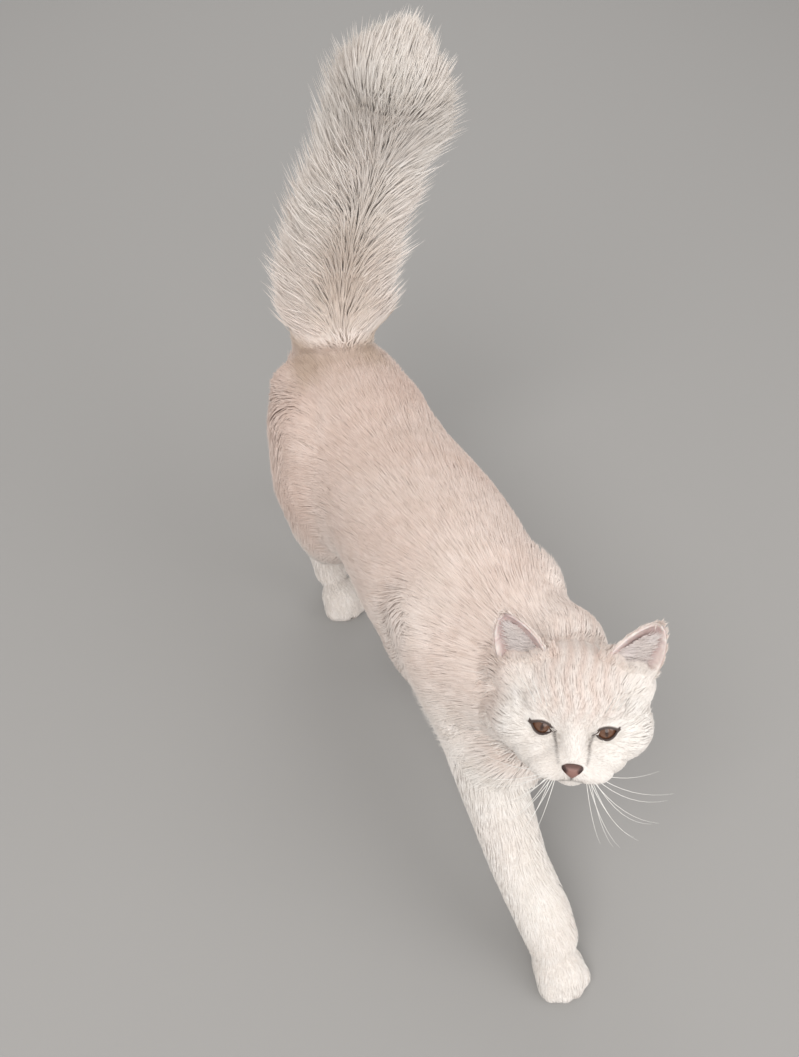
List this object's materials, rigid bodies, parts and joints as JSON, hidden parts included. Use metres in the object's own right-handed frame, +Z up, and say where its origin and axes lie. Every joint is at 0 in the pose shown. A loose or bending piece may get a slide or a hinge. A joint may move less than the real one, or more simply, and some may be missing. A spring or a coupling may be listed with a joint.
{
  "type": "cat model",
  "caption": "Life-size still model of a long-haired cream cat in mid stride, its plume tail held up, standing on four flat soles.",
  "frame": {"origin": "middle of the whole model's footprint, at the floor", "axes": "+Z up, the cat walks towards -Y, its left side is +X"},
  "size_m": [0.2152, 0.6012, 0.5162],
  "materials": {
    "coat_cream": "long soft warm cream fur",
    "coat_pale": "soft pale cream fur",
    "ear_velvet": "short velvety fur over pink skin",
    "eye_amber": "clear wet gloss over amber",
    "nose_leather": "fine-grained, slightly moist"
  },
  "bodies": {
    "root": {"head": "coat_cream", "neck": "coat_cream", "torso": "coat_cream", "tail_base": "coat_cream", "tail_middle": "coat_pale", "tail_tip": "coat_pale", "leg_fore_right": "coat_pale", "leg_fore_left": "coat_pale", "leg_hind_right": "coat_pale", "leg_hind_left": "coat_pale", "ear_right": "ear_velvet", "ear_left": "ear_velvet", "eye_right": "eye_amber", "eye_left": "eye_amber", "nose": "nose_leather"}
  },
  "joints": []
}
